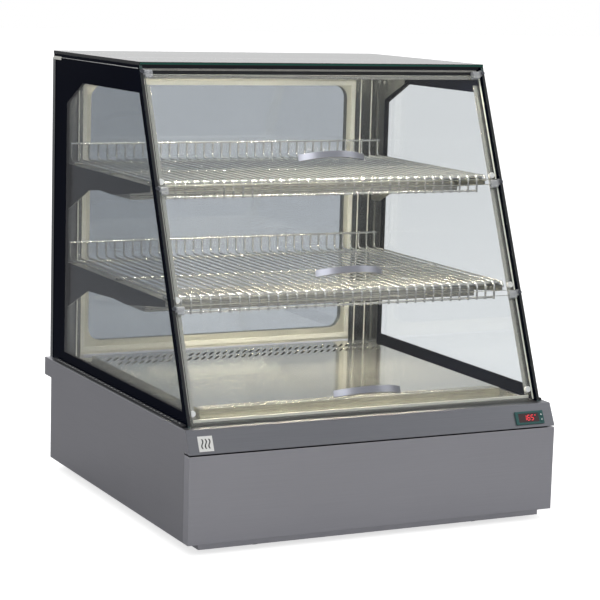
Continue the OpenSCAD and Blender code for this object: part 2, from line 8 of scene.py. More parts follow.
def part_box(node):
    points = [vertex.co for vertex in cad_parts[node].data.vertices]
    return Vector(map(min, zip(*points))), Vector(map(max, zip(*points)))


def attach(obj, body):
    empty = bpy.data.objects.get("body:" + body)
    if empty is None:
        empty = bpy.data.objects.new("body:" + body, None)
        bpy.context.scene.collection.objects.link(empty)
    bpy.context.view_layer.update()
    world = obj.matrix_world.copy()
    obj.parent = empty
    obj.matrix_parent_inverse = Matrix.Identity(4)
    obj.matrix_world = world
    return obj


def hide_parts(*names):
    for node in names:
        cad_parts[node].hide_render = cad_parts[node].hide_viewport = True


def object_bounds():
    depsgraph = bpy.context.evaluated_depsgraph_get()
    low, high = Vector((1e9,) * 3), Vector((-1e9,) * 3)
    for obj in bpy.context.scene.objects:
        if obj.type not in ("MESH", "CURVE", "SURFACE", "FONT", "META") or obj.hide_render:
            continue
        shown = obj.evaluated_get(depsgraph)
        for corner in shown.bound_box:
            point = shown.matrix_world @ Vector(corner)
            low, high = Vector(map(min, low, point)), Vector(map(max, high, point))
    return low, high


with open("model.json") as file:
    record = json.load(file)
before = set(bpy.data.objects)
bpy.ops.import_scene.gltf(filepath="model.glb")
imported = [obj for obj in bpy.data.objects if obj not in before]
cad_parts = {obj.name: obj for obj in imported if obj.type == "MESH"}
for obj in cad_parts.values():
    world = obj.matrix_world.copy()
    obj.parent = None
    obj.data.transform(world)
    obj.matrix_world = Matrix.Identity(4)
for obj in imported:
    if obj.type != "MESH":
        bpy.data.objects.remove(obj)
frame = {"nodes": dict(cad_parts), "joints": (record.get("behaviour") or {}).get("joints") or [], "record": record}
cadLow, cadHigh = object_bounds()
nodes = frame["nodes"]
record = frame["record"]
joints = {row["name"]: row for row in frame["joints"]}
bodyOf = {node: body for body, group in record["behaviour"]["bodies"].items() for node in group}
mm = 0.001
print("frame loaded:", len(nodes), "nodes")


# camera

camera = {
    "place": (-1.83767, -3.70904, 1.05047),
    "turn": 26.58,  # degrees to the right of straight ahead
    "tilt": 8.97,  # degrees down
    "roll": 1.66,
    "lens": 123.66,
}


def aimCamera():
    turn, tilt, roll = (math.radians(camera[key]) for key in ("turn", "tilt", "roll"))
    ahead = Vector((math.sin(turn) * math.cos(tilt), math.cos(turn) * math.cos(tilt), -math.sin(tilt)))
    level = Vector((math.cos(turn), -math.sin(turn), 0))
    upward = level.cross(ahead)
    right = level * math.cos(roll) + upward * math.sin(roll)
    up = upward * math.cos(roll) - level * math.sin(roll)
    bpy.ops.object.camera_add(location=camera["place"])
    eye = bpy.context.object
    eye.rotation_mode = "QUATERNION"
    eye.rotation_quaternion = Matrix((right, up, -ahead)).transposed().to_quaternion()
    eye.data.lens = camera["lens"]
    eye.data.sensor_width = 36
    bpy.context.scene.camera = eye


aimCamera()
print("camera set")


# shader sockets that take arithmetic


class Wire:
    def __init__(self, tree, socket=None):
        self.tree = tree
        self.socket = socket

    def add(self, kind, settings=None, values=None, out=0):
        node = self.tree.nodes.new("ShaderNode" + kind)
        for name, value in (settings or {}).items():
            if name == "stops":
                for place, shade in value[1:-1]:
                    node.color_ramp.elements.new(place)
                for element, (place, shade) in zip(node.color_ramp.elements, value):
                    element.position = place
                    element.color = (shade, shade, shade, 1)
            else:
                setattr(node, name, value)
        for name, value in (values or {}).items():
            if isinstance(value, Wire):
                self.tree.links.new(value.socket, node.inputs[name])
            else:
                node.inputs[name].default_value = value
        return Wire(self.tree, node.outputs[out] if node.outputs else None)

    def calc(self, operation, first, second=0.0):
        return self.add("Math", {"operation": operation}, {0: first, 1: second})

    def __add__(self, other):
        return self.calc("ADD", self, other)

    __radd__ = __add__

    def __sub__(self, other):
        return self.calc("SUBTRACT", self, other)

    def __rsub__(self, other):
        return self.calc("SUBTRACT", other, self)

    def __mul__(self, other):
        return self.calc("MULTIPLY", self, other)

    __rmul__ = __mul__

    def __pow__(self, other):
        return self.calc("POWER", self, other)

    def __abs__(self):
        return self.calc("ABSOLUTE", self)

    def __gt__(self, other):
        return self.calc("GREATER_THAN", self, other)

    def __lt__(self, other):
        return self.calc("LESS_THAN", self, other)

    def either(self, other):
        return self.calc("MAXIMUM", self, other)

    def blendTo(self, first, second):  # self is the mask
        return self.add("Mix", {"data_type": "RGBA"}, {0: self, 6: first, 7: second}, out=2)

    def shaderTo(self, first, second):
        return self.add("MixShader", {}, {0: self, 1: first, 2: second})

    def axes(self):
        split = self.tree.nodes.new("ShaderNodeSeparateXYZ")
        self.tree.links.new(self.socket, split.inputs[0])
        return [Wire(self.tree, output) for output in split.outputs]

    def along(self, direction):
        return self.add("VectorMath", {"operation": "DOT_PRODUCT"}, {0: self, 1: direction}, out="Value")


def shade(red, green, blue):
    return (red, green, blue, 1)


def newMaterial(name):
    material = bpy.data.materials.new(name)
    material.use_nodes = True
    material.node_tree.nodes.clear()
    return material, Wire(material.node_tree)


def seal(wire, shader):
    wire.add("OutputMaterial", {}, {"Surface": shader})


def objectPlace(wire):
    return wire.add("TexCoord", out="Object")


def stretched(wire, place, scale):
    return wire.add("Mapping", {}, {"Vector": place, "Scale": scale})


def noise(wire, place, scale, detail=2.0, rough=0.5):
    return wire.add("TexNoise", {}, {"Vector": place, "Scale": scale, "Detail": detail, "Roughness": rough})


def bumped(wire, height, strength, distance):
    return wire.add("Bump", {}, {"Height": height, "Strength": strength, "Distance": distance}, out="Normal")


# materials


def brushedSteel(name, dark, light, rough, grain, relief=0.06, stain=0.04, metal=1.0):
    material, wire = newMaterial(name)
    place = objectPlace(wire)
    streaks = noise(wire, stretched(wire, place, grain), 1.0, 4.0, 0.6)
    cloud = noise(wire, place, 5.0, 3.0, 0.55)
    tone = streaks * 0.75 + cloud * 0.25
    sockets = {
        "Base Color": tone.blendTo(shade(*dark), shade(*light)),
        "Metallic": metal,
        "Roughness": rough + (streaks - 0.5) * 0.06 + (cloud - 0.5) * stain,
    }
    if relief:
        sockets["Normal"] = bumped(wire, streaks, relief, 0.0002)
    seal(wire, wire.add("BsdfPrincipled", {}, sockets))
    return material


def smoothMetal(name, colour, rough, spread=0.06, scale=60.0, metal=1.0):
    material, wire = newMaterial(name)
    cloud = noise(wire, objectPlace(wire), scale, 4.0, 0.6)
    low = tuple(part * 0.93 for part in colour)
    seal(wire, wire.add("BsdfPrincipled", {}, {
        "Base Color": cloud.blendTo(shade(*low), shade(*colour)),
        "Metallic": metal,
        "Roughness": rough + (cloud - 0.5) * spread,
    }))
    return material


def mouldedPlastic(name, colour, rough, coat=0.0, grain=900.0):
    material, wire = newMaterial(name)
    fine = noise(wire, objectPlace(wire), grain, 2.0)
    broad = noise(wire, objectPlace(wire), 40.0, 2.0)
    low = tuple(part * 0.88 for part in colour)
    seal(wire, wire.add("BsdfPrincipled", {}, {
        "Base Color": broad.blendTo(shade(*low), shade(*colour)),
        "Roughness": rough + (fine - 0.5) * 0.08,
        "Coat Weight": coat,
        "Normal": bumped(wire, fine, 0.08, 0.0001),
    }))
    return material


def paneShader(wire, tint, sheen=1.0):
    facing = wire.add("LayerWeight", {}, {"Blend": 0.5}, out="Facing")
    smear = noise(wire, objectPlace(wire), 3.0, 3.0)
    clear = wire.add("BsdfTransparent", {}, {"Color": shade(*tint)})
    mirror = wire.add("BsdfPrincipled", {}, {
        "Base Color": shade(0.97, 0.98, 1.0),
        "Metallic": 1.0,
        "Roughness": smear * 0.012,
    })
    share = (facing ** 5) * (1 - 0.04 * sheen) + 0.04 * sheen
    return share.shaderTo(clear, mirror)


def greenEdge(wire, colour, arris=None):
    # arris is the span of heights that stays green between the two dark corners; outside it the edge is painted
    # near-black, at the top as a painted reflection on the arris and at the bottom for the black seal beneath
    cloud = noise(wire, objectPlace(wire), 30.0, 3.0)
    low = tuple(part * 0.7 for part in colour)
    tone = cloud.blendTo(shade(*low), shade(*colour))
    if arris:
        height = objectPlace(wire).axes()[2]
        # painted reflection: near-black above the span on the arris, and near-black below it for the seal
        tone = (height < arris[0]).either(height > arris[1]).blendTo(tone, shade(0.003, 0.006, 0.006))
    return wire.add("BsdfPrincipled", {}, {
        "Base Color": tone,
        "Roughness": 0.16,
        "Coat Weight": 0.5,
    })


def paneGlass(name, tint, face, edge, border=None, printColour=(0.0015, 0.003, 0.010), sheen=1.0, arris=None):
    # face is the direction the pane looks in; border is how far the black print reaches in
    material, wire = newMaterial(name)
    outward = abs(wire.add("TexCoord", out="Normal").along(face))
    shader = (outward < 0.5).shaderTo(paneShader(wire, tint, sheen), greenEdge(wire, edge, arris))
    if border:
        x, y, z = objectPlace(wire).axes()
        printed = (abs(x) > border["halfWidth"]).either(y < border["front"]).either(y > border["rear"])
        ink = wire.add("BsdfPrincipled", {}, {"Base Color": shade(*printColour), "Roughness": 0.12})
        shader = printed.shaderTo(shader, ink)
    seal(wire, shader)
    return material


def clearPlastic(name):
    material, wire = newMaterial(name)
    facing = wire.add("LayerWeight", {}, {"Blend": 0.5}, out="Facing")
    cloud = noise(wire, objectPlace(wire), 120.0, 3.0)
    clear = wire.add("BsdfTransparent", {}, {"Color": shade(0.90, 0.91, 0.92)})
    body = wire.add("BsdfPrincipled", {}, {
        "Base Color": cloud.blendTo(shade(0.62, 0.64, 0.67), shade(0.86, 0.87, 0.88)),
        "Roughness": 0.10,
        "Coat Weight": 0.6,
    })
    seal(wire, ((facing ** 2) * 0.55 + 0.30).shaderTo(clear, body))
    return material


def glowing(name, colour, strength, base=(0.9, 0.88, 0.8)):
    material, wire = newMaterial(name)
    cloud = noise(wire, objectPlace(wire), 25.0, 2.0)
    seal(wire, wire.add("BsdfPrincipled", {}, {
        "Base Color": cloud.blendTo(shade(*(part * 0.9 for part in base)), shade(*base)),
        "Roughness": 0.3,
        "Emission Color": cloud.blendTo(shade(*(part * 0.92 for part in colour)), shade(*colour)),
        "Emission Strength": strength,
    }))
    return material


def printedInk(name, colour):
    # fired black enamel, which hardly mirrors
    material, wire = newMaterial(name)
    cloud = noise(wire, objectPlace(wire), 8.0, 2.0)
    seal(wire, wire.add("BsdfPrincipled", {}, {
        "Base Color": cloud.blendTo(shade(*(part * 0.6 for part in colour)), shade(*colour)),
        "Roughness": 0.16 + cloud * 0.05,
        "IOR": 1.05,
    }))
    return material


def shadedFaceSteel(name, outer, inner, edgeX):
    # painted shade: the face towards the side glass is a darker copy of the same steel than the rest
    material, wire = newMaterial(name)
    place = objectPlace(wire)
    x, y, z = place.axes()
    streaks = noise(wire, stretched(wire, place, (900, 9, 900)), 1.0, 4.0, 0.6)
    dark = streaks.blendTo(shade(*(part * 0.9 for part in outer)), shade(*outer))
    light = streaks.blendTo(shade(*(part * 0.85 for part in inner)), shade(*inner))
    away = abs(x) > edgeX
    seal(wire, wire.add("BsdfPrincipled", {}, {
        "Base Color": away.blendTo(light, dark),
        "Metallic": 1.0,
        "Roughness": 0.30 + (streaks - 0.5) * 0.1,
        "Normal": bumped(wire, streaks, 0.05, 0.0002),
    }))
    return material


slopeLow = Vector(joints["flap_lower_hinge"]["pos_m"])
slopeHigh = Vector(joints["flap_upper_hinge"]["pos_m"])
slopeUp = (slopeHigh - slopeLow).normalized()
slopeIn = Vector((0, slopeUp.z, -slopeUp.y))
fasciaIn = Vector(joints["key_up_press"]["axis"])
fasciaUp = Vector((0, -fasciaIn.z, fasciaIn.y))

sideLow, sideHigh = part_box("side_glass_right")
roofLow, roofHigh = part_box("roof_glass_inner")

steelAcross = brushedSteel("steelAcross", (0.50, 0.50, 0.535), (0.62, 0.62, 0.66), 0.36, (6, 700, 700))
fasciaSteel = brushedSteel("fasciaSteel", (0.175, 0.18, 0.20), (0.235, 0.24, 0.26), 0.38, (6, 700, 700))
steelAlong = brushedSteel("steelAlong", (0.37, 0.37, 0.395), (0.46, 0.46, 0.49), 0.38, (700, 6, 700))
polishedAcross = brushedSteel("polishedAcross", (0.50, 0.50, 0.46), (0.56, 0.555, 0.51), 0.27, (6, 800, 800),
                              0, 0.02, 0.75)
# painted light: a brighter, cream-tinted copy of the case steel standing in for warm lamp light, used on the top
# rail, gutter hem and roof clips
paintedLitSteel = brushedSteel("paintedLitSteel", (0.72, 0.715, 0.66), (0.80, 0.795, 0.74), 0.38, (6, 800, 800),
                         0, 0.02, 0.55)
polishedUpright = brushedSteel("polishedUpright", (0.44, 0.44, 0.41), (0.50, 0.50, 0.46), 0.26, (800, 800, 6),
                               0, 0.02, 0.8)
# painted shade: a much darker copy of the case steel, standing in for the dark surroundings the posts and gussets
# mirror
shadedPostSteel = brushedSteel("shadedPostSteel", (0.21, 0.22, 0.225), (0.26, 0.27, 0.275), 0.24, (800, 800, 6), 0, 0.02)
deckSteel = brushedSteel("deckSteel", (0.74, 0.74, 0.70), (0.80, 0.795, 0.75), 0.10, (900, 30, 900),
                         0, 0.02, 0.86)
doorSteel = brushedSteel("doorSteel", (0.62, 0.62, 0.56), (0.70, 0.695, 0.63), 0.36, (800, 800, 6),
                         0, 0.02, 0.5)
platedSteel = smoothMetal("platedSteel", (0.60, 0.60, 0.57), 0.32, 0.12)
wireSteel = smoothMetal("wireSteel", (0.70, 0.71, 0.71), 0.26, metal=0.92)
satinChrome = smoothMetal("satinChrome", (0.31, 0.32, 0.36), 0.36, 0.04, 200.0)
pinSteel = smoothMetal("pinSteel", (0.10, 0.105, 0.12), 0.24)
screwSteel = smoothMetal("screwSteel", (0.72, 0.72, 0.70), 0.22)
# painted shade on the bracket face towards the side glass
bracketSteel = shadedFaceSteel("bracketSteel", (0.045, 0.060, 0.085), (0.42, 0.42, 0.38), sideLow.x - 3.8 * mm)
badgeMetal = smoothMetal("badgeMetal", (0.86, 0.86, 0.84), 0.40)
heaterSkin = smoothMetal("heaterSkin", (0.20, 0.16, 0.14), 0.45, 0.2, 30.0)
fanAlloy = smoothMetal("fanAlloy", (0.66, 0.66, 0.68), 0.35, 0.1)
driverAlloy = smoothMetal("driverAlloy", (0.72, 0.72, 0.73), 0.42, 0.1)
motorPaint = mouldedPlastic("motorPaint", (0.03, 0.03, 0.035), 0.42)

sideGlass = paneGlass("sideGlass", (0.775, 0.79, 0.80), (1, 0, 0), (0.02, 0.05, 0.05))
flapGlass = paneGlass("flapGlass", (0.975, 0.98, 0.98), tuple(slopeIn), (0.75, 0.78, 0.72), sheen=0.5)
doorGlass = paneGlass("doorGlass", (0.80, 0.815, 0.83), (0, 1, 0), (0.10, 0.16, 0.15), sheen=2.4)
topLow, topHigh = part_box("roof_glass_outer")
# the edge is green, with painted near-black corners: a painted reflection on the top arris and the seal beneath at
# the bottom
roofOuter = paneGlass("roofOuter", (0.96, 0.97, 0.97), (0, 0, 1), (0.006, 0.085, 0.062),
                      arris=(topLow.z + 1.2 * mm, topHigh.z - 1.2 * mm))
roofInner = paneGlass("roofInner", (0.96, 0.97, 0.97), (0, 0, 1), (0.004, 0.006, 0.008), {
    "halfWidth": roofHigh.x - 14 * mm,
    "front": roofLow.y + 12 * mm,
    "rear": roofHigh.y - 16 * mm,
})
hingePlastic = clearPlastic("hingePlastic")
whitePlastic = mouldedPlastic("whitePlastic", (0.88, 0.88, 0.88), 0.35, 0.2)
blackPlastic = mouldedPlastic("blackPlastic", (0.012, 0.012, 0.013), 0.38)
tealPlastic = mouldedPlastic("tealPlastic", (0.010, 0.085, 0.080), 0.36)
keyPlastic = mouldedPlastic("keyPlastic", (0.012, 0.09, 0.085), 0.42)
stripPlastic = mouldedPlastic("stripPlastic", (0.78, 0.78, 0.74), 0.4)
windowPlastic = mouldedPlastic("windowPlastic", (0.030, 0.001, 0.004), 0.10, 0.6)
rockerPlastic = mouldedPlastic("rockerPlastic", (0.45, 0.02, 0.01), 0.22, 0.4)
footRubber = mouldedPlastic("footRubber", (0.012, 0.012, 0.012), 0.75, 0.0, 400.0)
sealRubber = mouldedPlastic("sealRubber", (0.006, 0.007, 0.010), 0.55, 0.0, 400.0)
blackPrint = printedInk("blackPrint", (0.0008, 0.0022, 0.009))
lampGlow = glowing("lampGlow", (1.0, 0.93, 0.72), 3.0)
digitGlow = glowing("digitGlow", (0.75, 0.03, 0.05), 1.3, (0.5, 0.02, 0.02))
print("materials made")


# finished copies of the folded sheet and moulded nodes


def clearSelection():
    if bpy.context.object and bpy.context.object.mode != "OBJECT":
        bpy.ops.object.mode_set(mode="OBJECT")
    bpy.ops.object.select_all(action="DESELECT")


def pick(piece):
    clearSelection()
    piece.select_set(True)
    bpy.context.view_layer.objects.active = piece


def settle(piece):
    pick(piece)
    bpy.ops.object.transform_apply(location=True, rotation=True, scale=True)
    return piece


def modify(piece, kind, **settings):
    pick(piece)
    modifier = piece.modifiers.new(kind.lower(), kind)
    for name, value in settings.items():
        setattr(modifier, name, value)
    bpy.ops.object.modifier_apply(modifier=modifier.name)
    return piece


def rounded(piece, width, segments=2, angle=35):
    modify(piece, "BEVEL", width=width, segments=segments, limit_method="ANGLE",
           angle_limit=math.radians(angle), use_clamp_overlap=True, harden_normals=False)
    pick(piece)
    bpy.ops.object.shade_smooth_by_angle(angle=math.radians(40))
    # keeps the flat faces flat beside their rounded edges
    return modify(piece, "WEIGHTED_NORMAL", mode="FACE_AREA", weight=100, keep_sharp=True)


def dress(piece, material, body):
    piece.data.materials.clear()
    piece.data.materials.append(material)
    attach(piece, body)
    return piece


def camel(node):
    first, *rest = node.split("_")
    return first + "".join(word.capitalize() for word in rest)


def finished(node, material, width, segments=2):
    # a merged copy of the node with its edges rounded
    piece = bpy.data.objects.new(camel(node), nodes[node].data.copy())
    bpy.context.scene.collection.objects.link(piece)
    pick(piece)
    bpy.ops.object.mode_set(mode="EDIT")
    bpy.ops.mesh.select_all(action="SELECT")
    bpy.ops.mesh.remove_doubles(threshold=0.00002)
    bpy.ops.mesh.dissolve_limited(angle_limit=math.radians(1))
    bpy.ops.object.mode_set(mode="OBJECT")
    rounded(piece, width, segments)
    dress(piece, material, bodyOf[node])
    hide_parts(node)
    return piece


sheetFinish = {  # node: (material, edge radius in mm)
    "base_side_left": (steelAlong, 0.5),
    "base_side_right": (steelAlong, 0.5),
    "base_front_panel": (steelAcross, 0.6),
    "control_fascia": (fasciaSteel, 0.5),
    "rear_lip": (steelAcross, 0.5),
    "base_rear_panel": (steelAcross, 0.3),
    "bottom_tray": (steelAcross, 0.4),
    "well_frame": (polishedAcross, 0.4),
    "deck_tray": (deckSteel, 0.5),
    "rear_post_left": (shadedPostSteel, 0.4),
    "rear_post_right": (shadedPostSteel, 0.4),
    "top_rear_rail": (paintedLitSteel, 0.5),
    "top_front_bar": (polishedAcross, 0.6),
    "edge_profile_left": (polishedUpright, 0.4),
    "edge_profile_right": (polishedUpright, 0.4),
    "corner_gussets": (shadedPostSteel, 0.3),
    "bracket_upper_left": (bracketSteel, 0.3),
    "bracket_upper_right": (bracketSteel, 0.3),
    "bracket_lower_left": (bracketSteel, 0.3),
    "bracket_lower_right": (bracketSteel, 0.3),
    "lamp_housing_upper": (polishedAcross, 0.4),
    "lamp_housing_lower": (polishedAcross, 0.4),
    "door_frame": (doorSteel, 1.2),
    "door_handle": (satinChrome, 0.6),
    "controller_bezel": (tealPlastic, 0.6),
    "key_up": (keyPlastic, 0.5),
    "key_down": (keyPlastic, 0.5),
    "badge_plate": (badgeMetal, 0.3),
    "power_inlet": (blackPlastic, 0.5),
    "rocker_switch": (rockerPlastic, 0.5),
    "feet": (footRubber, 0.8),
    "flap_handle_upper": (satinChrome, 2.2),
    "flap_handle_middle": (satinChrome, 2.2),
    "flap_handle_lower": (satinChrome, 2.2),
}
for nodeName, (material, radius) in sheetFinish.items():
    finished(nodeName, material, radius * mm, 4 if radius > 2 else 2)

plainFinish = {
    "air_box": platedSteel,
    "fan_plate": platedSteel,
    "heater_element": heaterSkin,
    "fan_motor": motorPaint,
    "fan_rotor": fanAlloy,
    "lamp_driver": driverAlloy,
    "controller_body": blackPlastic,
    "controller_window": windowPlastic,
    "top_lamp": lampGlow,
    "heat_lamps": lampGlow,
    "roof_glass_outer": roofOuter,
    "roof_glass_inner": roofInner,
    "side_glass_left": sideGlass,
    "side_glass_right": sideGlass,
    "flap_glass_upper": flapGlass,
    "flap_glass_middle": flapGlass,
    "flap_glass_lower": flapGlass,
    "door_glass": doorGlass,
    "door_hinges": platedSteel,
    "wire_shelf_upper": wireSteel,
    "wire_shelf_lower": wireSteel,
    "flap_pivots": hingePlastic,
    "flap_clips_upper": hingePlastic,
    "flap_clips_middle": hingePlastic,
    "flap_clips_lower": hingePlastic,
    "flap_bumpers": whitePlastic,
}
for nodeName, material in plainFinish.items():
    holder = nodes[nodeName]
    if not holder.material_slots:
        holder.data.materials.append(material)
    for materialSlot in holder.material_slots:
        materialSlot.material = material
print("nodes finished:", len(sheetFinish) + len(plainFinish))


# tools for new pieces


def block(name, low, high):
    clearSelection()
    low, high = Vector(low), Vector(high)
    bpy.ops.mesh.primitive_cube_add(size=1, location=(low + high) / 2, scale=high - low)
    piece = bpy.context.object
    piece.name = name
    return settle(piece)


def trimmed(piece, point, outward):
    pick(piece)
    bpy.ops.object.mode_set(mode="EDIT")
    bpy.ops.mesh.select_all(action="SELECT")
    bpy.ops.mesh.bisect(plane_co=point, plane_no=outward, use_fill=True, clear_outer=True)
    bpy.ops.object.mode_set(mode="OBJECT")
    return piece


def cutBy(piece, cutter):
    modify(piece, "BOOLEAN", operation="DIFFERENCE", object=cutter, solver="EXACT")
    bpy.data.objects.remove(cutter)
    return piece


def moved(piece, matrix):
    piece.matrix_world = matrix @ piece.matrix_world
    return settle(piece)


def twin(piece, name, matrix):
    copy = piece.copy()
    copy.data = piece.data.copy()
    copy.name = name
    bpy.context.scene.collection.objects.link(copy)
    return moved(copy, matrix)


def joined(name, pieces):
    clearSelection()
    for piece in pieces:
        piece.select_set(True)
    bpy.context.view_layer.objects.active = pieces[0]
    bpy.ops.object.join()
    pieces[0].name = name
    return pieces[0]


def frameOf(origin, right, up):
    # x along right, y along up, z out of the surface
    out = Vector(right).cross(Vector(up))
    turn = Matrix((Vector(right), Vector(up), out)).transposed().to_4x4()
    return Matrix.Translation(origin) @ turn


screw = {"radius": 4.2 * mm, "height": 1.6 * mm, "socket": 1.7 * mm, "depth": 0.9 * mm, "dome": 0.7 * mm}


def makeScrew():
    clearSelection()
    bpy.ops.mesh.primitive_cylinder_add(vertices=24, radius=screw["radius"], depth=screw["height"],
                                        location=(0, 0, screw["height"] / 2))
    piece = settle(bpy.context.object)
    bpy.ops.object.mode_set(mode="EDIT")
    bpy.ops.mesh.select_all(action="DESELECT")
    bpy.ops.object.mode_set(mode="OBJECT")
    top = max(piece.data.polygons, key=lambda face: face.center.z)
    top.select = True
    bpy.ops.object.mode_set(mode="EDIT")
    bpy.ops.mesh.select_mode(type="FACE")
    bpy.ops.mesh.inset(thickness=screw["radius"] - screw["socket"])
    bpy.ops.mesh.extrude_region_move(TRANSFORM_OT_translate={"value": (0, 0, -screw["depth"])})
    bpy.ops.object.mode_set(mode="OBJECT")
    return rounded(piece, screw["dome"], 3, 60)


screwMaster = makeScrew()


def screwsAt(name, places, right, up, body):
    heads = [twin(screwMaster, name, frameOf(place, right, up)) for place in places]
    return dress(joined(name, heads), screwSteel, body)


# printed border and edge seals on the side glass

border = {
    "thickness": 0.16 * mm,
    "gap": 0.04 * mm,
    "edge": 1 * mm,
    "foot": 0.3 * mm,
    "slant": 16 * mm,
    "top": 52 * mm,
    "bottom": 25 * mm,
    "rear": 81 * mm,
    "chamfer": (91 * mm, 45 * mm),
}


def slantPoint(inset):
    # on the line that runs inset behind the side glass's slanted edge
    foot = Vector((0, sideLow.y, sideLow.z))
    return foot + slopeIn * inset


def printedBorder(side, face):
    inner = sideHigh.x + border["gap"] if face == "Outer" else sideLow.x - border["gap"] - border["thickness"]
    outer = inner + border["thickness"]
    low = (inner, sideLow.y, sideLow.z + border["foot"])
    high = (outer, sideHigh.y - border["edge"], sideHigh.z - border["foot"])
    plate = trimmed(block("print" + face + side, low, high), slantPoint(border["edge"]), -slopeIn)
    rear = sideHigh.y - border["rear"]
    top = sideHigh.z - border["top"]
    window = block("window", (inner - 0.01, sideLow.y - 0.05, sideLow.z + border["bottom"]),
                   (outer + 0.01, rear, top))
    trimmed(window, slantPoint(border["slant"]), -slopeIn)
    across, down = border["chamfer"]
    corner = Vector((0, rear, top - down))
    trimmed(window, corner, Vector((0, down, across)))
    cutBy(plate, window)
    if side == "Left":
        mirrored(plate)
    return dress(plate, blackPrint, "case")


def mirrored(piece):
    # the twin on the left of the case
    moved(piece, Matrix.Scale(-1, 4, (1, 0, 0)))
    pick(piece)
    bpy.ops.object.mode_set(mode="EDIT")
    bpy.ops.mesh.select_all(action="SELECT")
    bpy.ops.mesh.normals_make_consistent(inside=False)
    bpy.ops.object.mode_set(mode="OBJECT")


edgeSeal = {"inset": 0.25 * mm, "proud": 0.7 * mm, "round": 0.3 * mm, "foot": 3 * mm, "head": 8 * mm}


def edgeSealPiece(side):
    # black seal over the slanted edge of the side glass
    width = sideHigh.x - sideLow.x - 2 * edgeSeal["inset"]
    length = (sideHigh.z - sideLow.z) / slopeUp.z - edgeSeal["foot"] - edgeSeal["head"]
    piece = block("edgeSeal" + side, (-width / 2, 0, 0), (width / 2, length, edgeSeal["proud"]))
    rounded(piece, edgeSeal["round"], 2)
    sign = 1 if side == "Right" else -1
    origin = slantPoint(-0.02 * mm) + slopeUp * edgeSeal["foot"]
    origin.x = sign * (sideLow.x + sideHigh.x) / 2
    moved(piece, frameOf(origin, (1, 0, 0), slopeUp))
    return dress(piece, sealRubber, "case")


for side in ("Left", "Right"):
    printedBorder(side, "Outer")
    printedBorder(side, "Inner")
    edgeSealPiece(side)
print("printed borders and seals made")


# glazing channel along the foot of each side glass

channel = {
    "gap": 0.3 * mm,
    "width": 8 * mm,
    "height": 5 * mm,
    "lip": 1.2 * mm,
    "front": 6 * mm,
    "rear": 40 * mm,
    "pitch": 17 * mm,
    "slot": 5 * mm,
}


def glazingChannel(side):
    panelLow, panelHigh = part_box("base_side_right")
    start = sideHigh.x + channel["gap"]
    base = panelHigh.z + 0.05 * mm
    low = (start, sideLow.y + channel["front"], base)
    high = (start + channel["width"], sideHigh.y - channel["rear"], base + channel["height"])
    piece = rounded(block("glazingChannel" + side, low, high), channel["lip"], 3)
    count = int((high[1] - low[1]) / channel["pitch"])
    clips = []
    for index in range(1, count):
        centre = low[1] + index * channel["pitch"]
        top = base + channel["height"]
        tick = block("tick", (start + 1.5 * mm, centre, top - 0.6 * mm),
                     (start + channel["width"] - 0.6 * mm, centre + channel["slot"], top + 0.5 * mm))
        clips.append(rounded(tick, 0.3 * mm, 1))
    ticks = joined("channelClips" + side, clips)
    if side == "Left":
        mirrored(piece)
        mirrored(ticks)
    dress(piece, sealRubber, "case")
    dress(ticks, screwSteel, "case")


for side in ("Left", "Right"):
    glazingChannel(side)
print("glazing channels made")


# ribs along the deck's front and the gutter's hem

ribs = {
    "count": 3,
    "pitch": 7 * mm,
    "width": 4 * mm,
    "height": 0.7 * mm,
    "set": 3 * mm,
    "inset": 5 * mm,
    "round": 0.35 * mm,
}
hem = {
    "deep": 2.6 * mm,
    "below": 4.5 * mm,
    "above": 1.4 * mm,
    "round": 0.9 * mm,
    "gap": 0.05 * mm,
    "past": 36 * mm,  # beyond the deck, at each end
}


def deckRibs():
    deckLow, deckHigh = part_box("deck_tray")
    bars = []
    for index in range(ribs["count"]):
        front = deckLow.y + ribs["set"] + index * ribs["pitch"]
        low = (deckLow.x + ribs["inset"], front, deckHigh.z + 0.02 * mm)
        high = (deckHigh.x - ribs["inset"], front + ribs["width"], deckHigh.z + ribs["height"])
        bars.append(rounded(block("rib", low, high), ribs["round"], 2))
    return dress(joined("deckRibs", bars), polishedAcross, "case")


def gutterHem():
    wellLow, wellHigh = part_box("well_frame")
    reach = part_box("deck_tray")[1].x + hem["past"]
    low = (-reach, wellLow.y - hem["gap"] - hem["deep"], wellHigh.z - hem["below"])
    high = (reach, wellLow.y - hem["gap"], wellHigh.z + hem["above"])
    piece = rounded(block("gutterHem", low, high), hem["round"], 3)
    return dress(piece, paintedLitSteel, "case")


deckRibs()
gutterHem()
print("ribs and hem made")


# roof edge trim

roofTrim = {
    "skin": 0.9 * mm,
    "line": 1.4 * mm,
    "below": 7.5 * mm,
    "length": 468 * mm,
    "proud": 0.5 * mm,
    "set": 3 * mm,
    "gap": 0.05 * mm,
}
outerLow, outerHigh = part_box("roof_glass_outer")


def roofEdge(side):
    black = block("roofSeal" + side,
                  (outerHigh.x + roofTrim["gap"], outerLow.y + roofTrim["set"], sideHigh.z),
                  (outerHigh.x + roofTrim["skin"], outerHigh.y, outerHigh.z - 0.2 * mm))
    rounded(black, 0.25 * mm, 2)
    foot = sideHigh.z - roofTrim["below"]
    bright = block("roofLine" + side, (sideHigh.x + roofTrim["gap"], sideHigh.y - roofTrim["length"], foot),
                   (sideHigh.x + roofTrim["proud"], sideHigh.y, foot + roofTrim["line"]))
    rounded(bright, 0.2 * mm, 1)
    if side == "Left":
        mirrored(black)
        mirrored(bright)
    dress(black, sealRubber, "case")
    dress(bright, screwSteel, "case")


rearClip = {
    "length": 46 * mm,
    "height": 7 * mm,
    "below": 5 * mm,
    "proud": 1.6 * mm,
    "round": 0.6 * mm,
    "gap": 0.3 * mm,
    "end": 1 * mm,
}


